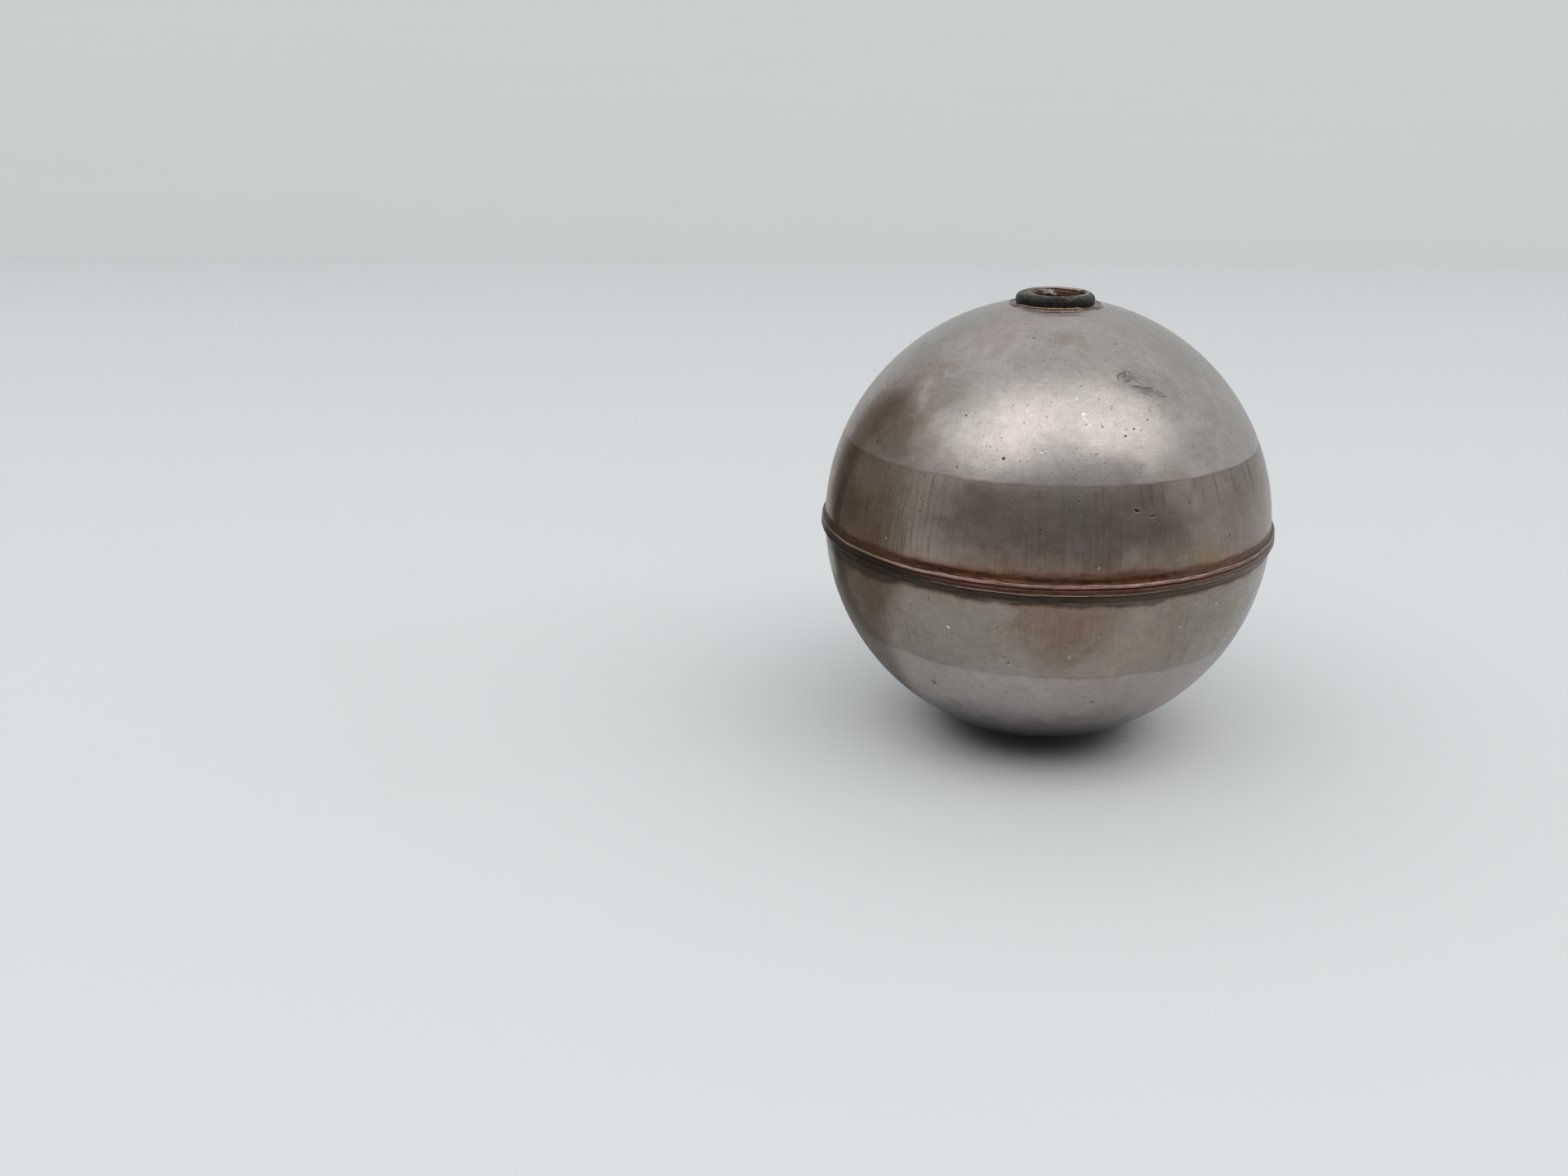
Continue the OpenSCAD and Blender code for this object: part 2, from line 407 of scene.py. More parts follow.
def pressed_steel(name, side, tones, stain, tints_and_painted_light, pits, glint_flecks, rubs, edge_soft):
    """Pickled and drawn stainless steel: a satin dome with a smoother, browner band where the
    die ironed it, fine draw lines up the band, and furnace stain beside the brazed seam. Side
    is 1 for the upper half and -1 for the lower. Tones are two of the dome, two of the band and
    one of its lines. Tints give degrees round and up, radius in mm, tone and strength: blushes of
    heat tint and handling, and painted shade and painted highlight. Rubs give degrees, radius,
    strength and the kind of line. Pits, and flecks whose pale colour is a painted glint, are as
    in marks."""
    made, tree = new_material(name)
    ball, place, height = ball_place(tree)

    # How far a point lies within the ironed band, whose edge wavers a little
    waver = mottle(ball, 4, 60, -edge_soft / 3, edge_soft / 3, 4.0)
    up = add_node(tree, "Math", {0: height, 1: side, 2: waver}, operation="MULTIPLY_ADD")
    edge = BALL_R * math.sin(math.radians(DRAWN_EDGE))
    band = add_node(tree, "MapRange", {
        "Value": up, "From Min": edge + edge_soft / 2, "From Max": edge - edge_soft / 2},
        interpolation_type="SMOOTHSTEP")

    # Two tones of the satin dome, two of the band and its draw lines
    dome = add_node(tree, "Mix", {
        0: mottle(ball, 8, 8, 0.0, 1.0, 4.0),
        6: linear(tones[0]), 7: linear(tones[1])},
        out=2, data_type="RGBA")
    ironed = add_node(tree, "Mix", {
        0: mottle(ball, 6, 4, 0.0, 1.0, 5.0),
        6: linear(tones[2]), 7: linear(tones[3])},
        out=2, data_type="RGBA")
    colour = add_node(tree, "Mix", {0: band, 6: dome, 7: ironed}, out=2, data_type="RGBA")

    # Coats of colour laid over one another: the tints come first, blushes of heat tint and handling
    # together with painted shade and painted highlight
    ragged = mottle(ball, 3.0, 3.0, -1.0, 1.0, 5.0)
    coats = []
    for turned, raised, radius, tone, strength in tints_and_painted_light:
        gap = add_node(tree, "VectorMath", {
            0: place, 1: on_ball(turned, raised)}, out="Value", operation="DISTANCE")
        frayed = add_node(tree, "Math", {
            0: ragged, 1: min(radius * 0.4, 2.0), 2: gap}, operation="MULTIPLY_ADD")
        coats.append((add_node(tree, "MapRange", {
            "Value": frayed, "From Min": radius, "From Max": radius * 0.25, "To Max": strength},
            interpolation_type="SMOOTHSTEP", clamp=False), tone))

    # Draw lines scored up the band where the die rubbed: hairs, and dashes hanging from its edge
    lines = mottle(ball, 0.26, 9, 0.0, 1.0, 2.0)
    hairs = mottle(ball, 0.3, 8, -1.3, 1.0, 1.0, 0.3)
    dashes = mottle(ball, 0.8, 40, -1.2, 1.0, 1.0, 0.3)
    hang = mottle(ball, 1.2, 60, edge - 4.5, edge - 0.2)
    hung = add_node(tree, "Math", {0: up, 1: hang}, operation="GREATER_THAN")
    hanging = add_node(tree, "Math", {0: dashes, 1: hung}, operation="MULTIPLY")
    scored = 0.0
    for turned, raised, radius, strength, kind in rubs:
        gap = add_node(tree, "VectorMath", {
            0: place, 1: on_ball(turned, raised)}, out="Value", operation="DISTANCE")
        where = add_node(tree, "MapRange", {
            "Value": gap, "From Min": radius, "From Max": radius * 0.5, "To Max": strength})
        here = add_node(tree, "Math", {
            0: where, 1: hairs if kind == "hairs" else hanging}, operation="MULTIPLY")
        scored = add_node(tree, "Math", {0: scored, 1: here}, operation="MAXIMUM")
    scored = add_node(tree, "Math", {0: scored, 1: band}, operation="MULTIPLY")
    fine = add_node(tree, "Math", {0: lines, 1: band}, operation="MULTIPLY")
    coats.append((add_node(tree, "Math", {0: fine, 1: 0.22}, operation="MULTIPLY"), tones[4]))

    # The same fine lines, worn bright down one side of the upper half
    bare = add_node(tree, "Math", {
        0: fine, 1: towards(ball, -33, 13, 0.2 if side > 0 else 0.0)},
        operation="MULTIPLY")
    coats.append((bare, "#cfc5ba"))
    coats.append((scored, "#3f362e"))

    # The die's edge shows as a thin dark line, stronger here and there: partly the metal's own and
    # partly painted shade of its small step
    off = add_node(tree, "Math", {0: up, 1: edge}, operation="SUBTRACT")
    off = add_node(tree, "Math", {0: off}, operation="ABSOLUTE")
    rim = add_node(tree, "MapRange", {"Value": off, "From Min": 0.22, "From Max": 0.03})
    rim = add_node(tree, "Math", {0: rim, 1: mottle(ball, 7, 60, 0.0, 0.4)}, operation="MULTIPLY")
    coats.append((rim, "#5a463f"))

    # Furnace stain along the seam, by distance from it: wider on one side, broken in its length
    sway = mottle(ball, 3, 40, -0.3, 0.3, 5.0)
    away = add_node(tree, "Math", {0: height, 1: side, 2: sway}, operation="MULTIPLY_ADD")
    for turned, half_width, wider in stain["wider"]:
        more = towards(ball, turned, half_width, wider)
        away = add_node(tree, "Math", {0: away, 1: more}, operation="SUBTRACT")
    scaled = add_node(tree, "MapRange", {"Value": away, "From Max": STAIN_REACH})
    tone = add_node(tree, "ValToRGB", {"Fac": scaled}, stops=stain["tones"])
    share = add_node(tree, "ValToRGB", {"Fac": scaled}, stops=stain["shares"])
    patchy = mottle(ball, 4, 1.2, 0.6, 1.0, 4.0)
    coats.append((add_node(tree, "Math", {0: share, 1: patchy}, operation="MULTIPLY"), tone))

    # Dark pits and scuffs, and bright flecks that are small dings with a painted glint: the named
    # ones, and fine ones all over
    dots = mottle(ball, 0.5, 0.5, -15.0, 1.0, 1.0, 0.27)
    sparse = mottle(ball, 4.5, 4.5, 0.0, 1.0, 1.0, 0.2)
    dots = add_node(tree, "Math", {0: dots, 1: sparse}, operation="MULTIPLY", use_clamp=True)
    dark = add_node(tree, "Math", {0: marks(tree, place, pits, 0.5), 1: dots}, operation="MAXIMUM")
    dings_and_painted_glints = marks(tree, place, glint_flecks, 0.25)
    coats.append((dark, "#2f2924"))
    coats.append((dings_and_painted_glints, "#f0ebe8"))
    colour = coated(tree, colour, coats)

    # Grain, from rolling and pickling: fine, coarse, and faint rubbing round the ball
    for round_mm, up_mm, low, high in (
            (0.35, 0.35, 0.92, 1.08), (1.3, 1.3, 0.93, 1.07), (3, 0.22, 0.94, 1.06)):
        grain = mottle(ball, round_mm, up_mm, low, high, 3.0)
        colour = add_node(tree, "VectorMath", {0: colour, "Scale": grain}, operation="SCALE")

    # Surface relief in mm: rubbed lines round the dome or draw lines up the band, then orange
    # peel, soft dents, and the marks
    relief = add_node(tree, "Mix", {
        0: band, 2: mottle(ball, 3, 0.22, -0.0007, 0.0007, 2.0),
        3: mottle(ball, 0.26, 9, -0.0007, 0.0007, 2.0)}, data_type="FLOAT")
    for rise, depth in ((mottle(ball, 0.6, 0.6, -1.0, 1.0, 2.0), 0.0016),
                        (mottle(ball, 3.5, 3.5, -1.0, 1.0, 1.0), 0.012),
                        (scored, -0.004), (dark, -0.05), (dings_and_painted_glints, 0.02)):
        relief = add_node(tree, "Math", {0: rise, 1: depth, 2: relief}, operation="MULTIPLY_ADD")
    bump = add_node(tree, "Bump", {"Height": relief, "Strength": 1.0, "Distance": MM})
    polish = mottle(ball, 2.5, 2.5, -0.03, 0.03, 3.0)
    rough = add_node(tree, "MapRange", {
        "Value": band, "To Min": DOME_ROUGHNESS, "To Max": BAND_ROUGHNESS})
    rough = add_node(tree, "Math", {0: rough, 1: polish}, operation="ADD")
    steel = add_node(tree, "BsdfPrincipled", {
        "Base Color": colour, "Metallic": 1.0, "Roughness": rough, "Normal": bump})
    add_node(tree, "OutputMaterial", {"Surface": steel})
    return made


upper = turn("upper_half_shell", half_shell_outline(*HOLE_EDGES, 1) + [(HOLE_R, 31.266)],
             SHELL_STEPS)
uneven(upper, 16, 0.07, lambda radius, height: min((height - 1.9) / 5, (radius - 6.8) / 5))
upper.data.materials.append(pressed_steel(
    "satin_stainless_upper", 1,
    tones=("#bab1ac", "#a9a39d", "#93877e", "#83776e", "#a3988c"),
    stain={"tones": [(0.0, "#5d4a3d"), (0.28, "#583f32"), (0.33, "#6f4a38"), (0.4, "#8a6550"),
                     (1.0, "#8f7f6f")],
           "shares": [(0.0, "#ffffff"), (0.3, "#f4f4f4"), (0.37, "#c4c4c4"), (0.46, "#808080"),
                      (0.8, "#000000")],
           "wider": [(-45, 40, 0.1), (10, 36, 0.35)]},
    # Tints: heat tint and handling, and painted light. Most grey patches round and under the
    # highlight are painted shade that trims it. The pale pink ones in it are painted highlight, and
    # the pale ones at the top of the band lighten its reflection. The brown ones low on the front
    # of the band are stain and a painted dark reflection. The brown ones down the left side are
    # partly a painted reflection of the box.
    tints_and_painted_light=[
        (2, 13, 11.0, "#857c78", 0.55), (14, 7, 6.5, "#6a5d52", 0.55),
        (-51, 8, 6.5, "#7c6547", 0.6), (-39, 8, 6.5, "#67583f", 0.5),
        (-47, 29, 5.0, "#83807f", 0.5), (9, 65, 3.2, "#998b7b", 0.5),
        (-35, 66, 6.0, "#aa9793", 0.5), (42, 6, 3.5, "#a3927e", 0.5),
        (-10, 36, 4.5, "#c9bab6", 0.5), (0, 40, 4.0, "#c8b6b4", 0.4),
        (12.5, 6, 0.7, "#6d4636", 0.5), (0, 90, 8.4, "#8c786e", 0.5),
        (-55, 36, 8.0, "#87705d", 0.45), (-50, 50, 5.0, "#96887e", 0.4),
        (30, 50, 2.6, "#847e79", 0.5), (35.5, 47.5, 2.0, "#87817c", 0.5),
        (0, 4.5, 6.0, "#644f40", 0.65), (14, 4, 5.0, "#504034", 0.6), (28, 6, 6.0, "#6c5d51", 0.6),
        (41, 4, 5.0, "#75644f", 0.55), (-13, 5, 5.0, "#6f5646", 0.55),
        (31, 12, 5.0, "#6f655b", 0.45), (-60, 9, 6.0, "#59462c", 0.6),
        (-28, 22, 6.0, "#b5aaa0", 0.6), (35, 22, 4.5, "#aba096", 0.55),
        (9, 24, 10.0, "#8b8581", 0.5), (-30, 16, 6.0, "#a89c90", 0.4),
        (48, 31, 6.0, "#8f8781", 0.45), (-5, 56, 9.0, "#9c948e", 0.4),
        (40, 47, 6.0, "#8f8781", 0.55), (-39, 43, 5.0, "#877b72", 0.55),
        (-38, 32, 5.0, "#938275", 0.4), (24, 59, 8.0, "#a0968f", 0.45),
        (58, 57, 10.0, "#a29a94", 0.45), (-58, 50, 8.0, "#8f837a", 0.5),
        (18, 26.5, 4.5, "#8a8480", 0.45), (15, 36.5, 4.5, "#cdc2bd", 0.45),
        (31, 45, 4.0, "#a29a95", 0.4), (-31, 46, 6.0, "#9c928b", 0.4),
        (55, 42, 6.0, "#a39a94", 0.4), (160, 40, 9.0, "#a2968a", 0.5),
        (-130, 12, 8.0, "#78664c", 0.5), (110, 55, 6.0, "#aa9793", 0.5),
        (135, 14, 9.0, "#857c78", 0.5), (-160, 60, 6.0, "#998b7b", 0.4),
        (-95, 35, 7.0, "#8c8b92", 0.4)],
    pits=[
        (-11.4, 30, 0.2, 0.2, 0, 0.95), (22.1, 35.9, 0.2, 0.12, 0, 0.95),
        (25.2, 37.5, 0.12, 0.12, 0, 0.9), (30.5, 39.5, 0.13, 0.1, 90, 0.9),
        (15.8, 38.5, 0.22, 0.12, -60, 0.6), (11, 39.1, 0.18, 0.08, -10, 0.55),
        (-7.2, 39.1, 0.25, 0.22, 0, 0.3), (-12.9, 34.9, 0.1, 0.08, 0, 0.5),
        (16.2, 45.5, 0.12, 0.12, 0, 0.4), (20, 43.6, 0.18, 0.07, 10, 0.5),
        (32.4, 41.8, 0.1, 0.2, 20, 0.5), (27.5, 37, 0.25, 0.05, 0, 0.5),
        (22.8, 37.5, 0.12, 0.1, 0, 0.5), (-0.6, 40.9, 0.22, 0.07, -25, 0.5),
        (0.4, 44.8, 0.1, 0.1, 0, 0.4), (23.6, 28.7, 0.1, 0.1, 0, 0.6),
        (13.1, 31.7, 0.14, 0.12, 0, 0.4), (8.4, 30.4, 0.12, 0.08, 0, 0.4),
        (22.5, 18.5, 0.42, 0.24, -25, 0.95), (26.5, 17, 0.36, 0.24, 0, 0.75),
        (28, 15.8, 0.4, 0.15, -45, 0.6), (14, 76.2, 2.0, 0.16, 0, 0.35),
        (31, 14, 0.2, 0.12, 0, 0.4), (-22.2, 10.3, 0.16, 0.1, 60, 0.8),
        (-23.5, 26.7, 0.25, 0.12, 60, 0.55), (-49.5, 14, 0.15, 0.1, 60, 0.8),
        (50, 9, 0.16, 0.4, -15, 0.6), (-53.8, 27.7, 0.25, 0.16, 60, 0.6),
        (-56.5, 34.3, 0.28, 0.2, 60, 0.5), (-54.6, 46.4, 0.4, 0.1, 30, 0.4),
        (5, 15, 0.3, 0.28, 0, 0.2), (27, 52.4, 0.8, 0.14, 20, 0.6),
        (28.8, 52.2, 0.7, 0.17, 65, 0.6), (28.6, 50.3, 0.6, 0.16, 0, 0.55),
        (31.5, 52.6, 0.5, 0.16, -60, 0.5), (31.3, 48.4, 1.0, 0.15, -12, 0.6),
        (35, 47.7, 1.2, 0.15, -2, 0.6), (33.7, 46.2, 1.1, 0.13, -28, 0.55),
        (38.9, 46.2, 0.8, 0.14, 85, 0.4), (40.3, 44.8, 0.6, 0.12, -10, 0.5),
        (30, 51.2, 1.3, 0.5, -15, 0.3), (33.5, 47.6, 1.9, 0.6, -20, 0.3),
        (38.5, 46, 1.2, 0.5, -25, 0.25), (25.6, 51.4, 0.5, 0.12, 70, 0.5),
        (30.4, 50.9, 0.7, 0.1, 40, 0.5), (32.8, 49.6, 0.7, 0.1, -35, 0.5),
        (36.8, 46.6, 0.8, 0.1, -40, 0.45), (32.6, 47, 0.8, 0.1, 15, 0.45),
        (11, 53.6, 0.7, 0.07, -62, 0.4), (-36.3, 15.3, 2.2, 0.06, 86, 0.6),
        (-37.6, 12.5, 1.5, 0.05, 84, 0.5), (-33, 17, 1.8, 0.05, 87, 0.4),
        (100, 30, 0.25, 0.2, 0, 0.9), (142, 20, 0.2, 0.14, 30, 0.9), (-95, 45, 0.2, 0.16, 0, 0.8),
        (-160, 33, 0.25, 0.18, 0, 0.9), (175, 15, 0.2, 0.12, 0, 0.8)],
    glint_flecks=[
        (8.8, 46, 0.35, 0.1, 80, 0.6), (10.5, 41.8, 0.28, 0.2, 0, 0.6),
        (10.9, 40.5, 0.32, 0.1, -45, 0.7), (12, 39, 0.2, 0.14, 0, 0.8),
        (13.2, 42.6, 0.9, 0.07, 38, 0.8), (15.4, 47, 0.28, 0.1, 0, 0.7),
        (17.2, 49.9, 0.12, 0.1, 0, 0.5), (-6.8, 42.3, 0.35, 0.1, 85, 0.6),
        (-12.8, 38.9, 0.16, 0.12, 0, 0.8), (-12.6, 42, 0.25, 0.08, -60, 0.5),
        (-6.5, 39, 0.2, 0.08, 0, 0.5), (-3.8, 36.4, 0.4, 0.08, 80, 0.5),
        (-1.5, 31.9, 0.35, 0.1, -30, 0.6), (0.1, 32.3, 0.3, 0.07, 10, 0.6),
        (-17.5, 33, 0.3, 0.1, -60, 0.4), (13.2, 5.7, 0.25, 0.1, 60, 0.5),
        (-40.5, 6.5, 0.2, 0.15, 0, 0.6), (-1, 3.2, 0.2, 0.08, -30, 0.8),
        (150, 38, 0.4, 0.1, 30, 0.7), (-120, 40, 0.3, 0.12, -40, 0.7),
        (-170, 50, 0.6, 0.08, 20, 0.6)],
    rubs=[
        (-36, 12, 12.0, 0.55, "hairs"), (56, 18, 8.5, 1.0, "dashes"), (46, 19, 6.0, 0.7, "dashes"),
        (60, 10, 8.0, 0.4, "hairs"), (22, 22, 7.0, 0.35, "dashes"), (-150, 14, 12.0, 0.5, "hairs"),
        (125, 17, 10.0, 0.7, "dashes"), (8, 12, 9.0, 0.2, "hairs")],
    edge_soft=0.2))
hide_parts("upper_shell")
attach(upper, "root")


# ---------------------------------------------------------------- Lower half shell
# The closed half, drawn from the same sheet. The float rests on the bottom of it.
lower = turn("lower_half_shell", half_shell_outline(90, 90, -1), SHELL_STEPS)
uneven(lower, 16, 0.07, lambda radius, height: min((-height - 1.9) / 5, (radius - 6.8) / 5))
lower.data.materials.append(pressed_steel(
    "satin_stainless_lower", -1,
    tones=("#ada39f", "#a39a95", "#989086", "#897f74", "#9f968b"),
    stain={"tones": [(0.0, "#3a3229"), (0.27, "#3a3027"), (0.32, "#4d3b2f"), (0.37, "#785a45"),
                     (1.0, "#8a7564")],
           "shares": [(0.0, "#ffffff"), (0.29, "#ffffff"), (0.34, "#b8b8b8"), (0.4, "#5c5c5c"),
                      (0.62, "#000000")],
           "wider": [(-57, 28, 0.95), (-10, 14, 0.3), (19, 20, 0.28), (54, 30, -0.25)]},
    # Tints: heat tint and handling, and painted shade. The dark ones round the bottom are painted
    # shade that stands for the contact shadow seen in the steel. The one low on the right darkens
    # the steel's reflection of the table.
    tints_and_painted_light=[
        (3, -7, 7.0, "#7d5f4d", 0.65), (13, -8, 6.5, "#7c604c", 0.6), (5, -15, 6.5, "#7e6856", 0.5),
        (24, -15, 6.0, "#a19183", 0.5), (45, -20, 5.0, "#a59a92", 0.55),
        (15, -23, 4.0, "#a6998f", 0.5), (33, -10, 5.0, "#7e7465", 0.4),
        (-46, -9, 6.0, "#75604c", 0.6), (-20, -9, 6.0, "#8f887a", 0.4),
        (-22, -18, 6.0, "#958c88", 0.4), (44, -15, 3.0, "#77705f", 0.2),
        (-30.6, -32.7, 0.5, "#5d4c41", 0.7), (-15, -36, 8.0, "#aca0a0", 0.4),
        (25, -32, 6.0, "#9d928c", 0.4), (-5, -32, 10.0, "#b5acaa", 0.4),
        (0, -64, 17.0, "#474240", 0.7), (-37, -53, 10.5, "#58534f", 0.6),
        (28, -56, 11.5, "#5a5551", 0.6), (-59, -3, 4.0, "#2a241e", 0.7),
        (68, -22, 6.5, "#77726e", 0.55), (-35, -57, 7.0, "#4a4643", 0.6),
        (140, -12, 9.0, "#7b6756", 0.55), (-110, -16, 7.0, "#80705f", 0.5),
        (90, -30, 7.0, "#9d928c", 0.4)],
    pits=[
        (14.9, -10.9, 0.16, 0.08, 0, 0.95), (-9.5, -9.9, 0.1, 0.08, 0, 0.8),
        (-11.7, -11.7, 0.1, 0.07, 30, 0.7), (-0.5, -8.9, 0.12, 0.05, 0, 0.7),
        (-6.9, -20.2, 0.22, 0.1, 0, 0.85), (-30.6, -32.7, 0.4, 0.26, -40, 0.35),
        (3.4, -28.3, 0.25, 0.1, 0, 0.35), (0.9, -29.6, 0.2, 0.05, 0, 0.4),
        (55.4, -43.1, 0.1, 0.1, 0, 0.9), (2, -23.8, 0.5, 0.06, 0, 0.4),
        (9, -24.3, 0.6, 0.07, 5, 0.35), (26, -23, 0.8, 0.06, 8, 0.35), (80, -20, 0.25, 0.2, 0, 0.8),
        (120, -8, 0.2, 0.2, 0, 0.9), (-100, -26, 0.25, 0.15, 0, 0.8),
        (-170, -14, 0.25, 0.2, 0, 0.8)],
    glint_flecks=[(-22, -12.2, 0.32, 0.22, -30, 0.8), (-6.5, -20.9, 0.2, 0.08, -30, 0.6),
            (47, -7.5, 0.2, 0.15, 0, 0.7), (36, -11.5, 0.25, 0.2, 0, 0.35),
            (8, -17.5, 0.25, 0.2, 0, 0.3), (-130, -12, 0.3, 0.2, 0, 0.6)],
    rubs=[(-30, -14, 10.0, 0.2, "hairs"), (46, -14, 8.0, 0.3, "hairs"),
          (170, -12, 12.0, 0.3, "hairs")],
    edge_soft=0.8))
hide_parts("lower_shell")
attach(lower, "root")


# ---------------------------------------------------------------- Brazed seam
# Copper braze holds the two lips together. It fills the joint and has crept over both lips as a
# thin skin, dark red between its ridges. Its bright lines along two ridges at the top and one
# below are partly bare copper and partly painted highlight.
SEAM_SKIN = [
    (31.92, 1.11), (31.98, 1.09), (32.08, 0.98), (32.10, 0.93), (32.09, 0.88), (32.06, 0.86),
    (32.09, 0.84), (32.19, 0.74), (32.22, 0.68), (32.225, 0.63), (32.19, 0.58), (32.18, 0.54),
    (32.21, 0.48), (32.25, 0.36), (32.26, 0.20), (32.24, 0.09), (32.20, 0.03), (32.20, -0.03),
    (32.23, -0.09), (32.235, -0.22), (32.23, -0.27), (32.29, -0.35), (32.30, -0.39),
    (32.27, -0.44), (32.23, -0.50), (32.22, -0.60), (32.17, -0.70), (32.06, -0.75)]
SEAM_STEPS = 480
JOINT = [
    (32.06, -LIP_BACK), (LIP_R - 0.06, -LIP_BACK), (LIP_R, -LIP_BACK + 0.065),
    (LIP_R, -LIP_FACE - 0.065), (LIP_R - 0.06, -LIP_FACE), (31.45, -LIP_FACE), (31.15, -0.375),
    (31.15, 0.375), (31.45, LIP_FACE), (LIP_R - 0.06, LIP_FACE), (LIP_R, LIP_FACE + 0.065),
    (LIP_R, LIP_BACK - 0.065), (LIP_R - 0.06, LIP_BACK), (31.92, LIP_BACK), (31.92, 1.11)]


def copper_braze(name, tones, edges, patches, sides, roughness):
    """Copper braze from a furnace: bare pinkish metal on its ridges and dark oxide between. Tones
    go by height in mm above the seam, the palest of them on the seam's ridges being partly painted
    highlight, and patches go by their size in mm. Sides give degrees round and half width, lowest
    and highest mm, tone and strength."""
    made, tree = new_material(name)
    ball, _, height = ball_place(tree)
    sway = mottle(ball, 5, 60, -0.08, 0.08, 4.0)
    up = add_node(tree, "Math", {0: height, 1: sway}, operation="ADD")
    scaled = add_node(tree, "MapRange", {"Value": up, "From Min": edges[0], "From Max": edges[1]})
    colour = add_node(tree, "ValToRGB", {"Fac": scaled}, stops=tones)
    for round_mm, up_mm, tone, strength, spread in patches:
        share = mottle(ball, round_mm, up_mm, -0.3 * strength, strength, 4.0, spread)
        share = add_node(tree, "Math", {0: share, 1: 0.0}, operation="MAXIMUM")
        colour = coated(tree, colour, [(share, tone)])
    for turned, half_width, lowest, highest, tone, strength in sides:
        level = add_node(tree, "Math", {
            0: up, 1: (lowest + highest) / 2, 2: (highest - lowest) / 2}, operation="COMPARE")
        here = add_node(tree, "Math", {
            0: towards(ball, turned, half_width, strength), 1: level},
            operation="MULTIPLY")
        colour = coated(tree, colour, [(here, tone)])
    lumps = mottle(ball, 1.6, 0.3, -0.02, 0.02, 3.0)
    bump = add_node(tree, "Bump", {"Height": lumps, "Strength": 1.0, "Distance": MM})
    rough = mottle(ball, 1.2, 0.6, roughness[0], roughness[1], 3.0)
    metal = add_node(tree, "BsdfPrincipled", {
        "Base Color": colour, "Metallic": 1.0, "Roughness": rough, "Normal": bump})
    add_node(tree, "OutputMaterial", {"Surface": metal})
    return made


seam = turn("seam_braze_run", SEAM_SKIN + JOINT, SEAM_STEPS)
uneven(seam, 2.4, 0.09, lambda radius, height: (radius - 32.17) / 0.04, "RGB_TO_XYZ")
seam.data.materials.append(copper_braze(
    "seam_copper", edges=(-0.8, 1.1), roughness=(0.28, 0.42),
    # The pale bands at the ridges' heights are partly painted highlight.
    tones=[(0.0, "#38332b"), (0.18, "#383029"), (0.2, "#bca494"), (0.235, "#cfb8a9"),
           (0.26, "#64473c"), (0.4, "#63443a"), (0.47, "#5f4238"), (0.53, "#86625a"),
           (0.58, "#5a2f27"), (0.64, "#3a1c14"), (0.69, "#4f2c24"), (0.72, "#a98676"),
           (0.785, "#b99888"), (0.825, "#6b4638"), (0.87, "#e4c8ba"), (0.92, "#cba999"),
           (0.945, "#47291f"), (1.0, "#33201a")],
    patches=[(7, 0.5, "#7d5a4c", 0.35, 0.22), (5, 0.14, "#2a1d18", 0.55, 0.2),
             (1.2, 0.4, "#3a2a22", 0.4, 0.15)],
    sides=[(52, 34, -0.3, 0.28, "#6c6756", 0.5), (52, 34, -0.8, -0.35, "#4a3b31", 0.6),
           (-50, 38, -0.8, -0.2, "#24221d", 0.9), (-52, 36, -0.2, 0.55, "#332a24", 0.75),
           (-52, 34, 0.87, 1.1, "#574638", 0.8), (-50, 34, 0.72, 0.87, "#cbb9ac", 0.6)]))
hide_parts("seam_braze")
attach(seam, "root")

# The run of braze in the corner on top of the lips: dark, with red oxide in patches.
upper_run = turn("upper_seam_run", [
    (32.00, 1.09), (31.94, 1.12), (31.86, 1.22), (31.80, 1.38), (31.75, 1.58), (31.722, 1.78),
    (31.69, 1.9), (31.66, 1.7), (31.66, LIP_BACK), (32.00, LIP_BACK), (32.00, 1.09)],
    SEAM_STEPS)
uneven(upper_run, 3.0, 0.05, lambda radius, height:
       (height - 0.9) / 0.3 * min(1, (radius - 31.69) / 0.05))
upper_run.data.materials.append(copper_braze(
    "furnace_dark_copper", edges=(0.9, 1.9), roughness=(0.32, 0.46),
    tones=[(0.0, "#33231a"), (0.25, "#34251c"), (0.45, "#4e382c"), (0.8, "#5c4031"),
           (1.0, "#664434")],
    patches=[(9, 2.0, "#82614e", 0.4, 0.2), (4, 0.5, "#2e2722", 0.85, 0.16),
             (3, 0.12, "#30241d", 0.5, 0.2), (1.0, 0.5, "#824f3a", 0.4, 0.15)],
    sides=[(9, 16, 0.9, 1.5, "#2f231b", 0.45), (-58, 26, 0.9, 2.0, "#6b5a4a", 0.4),
           (52, 26, 0.9, 2.0, "#857062", 0.25)]))
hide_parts("upper_seam_fillet")
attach(upper_run, "root")

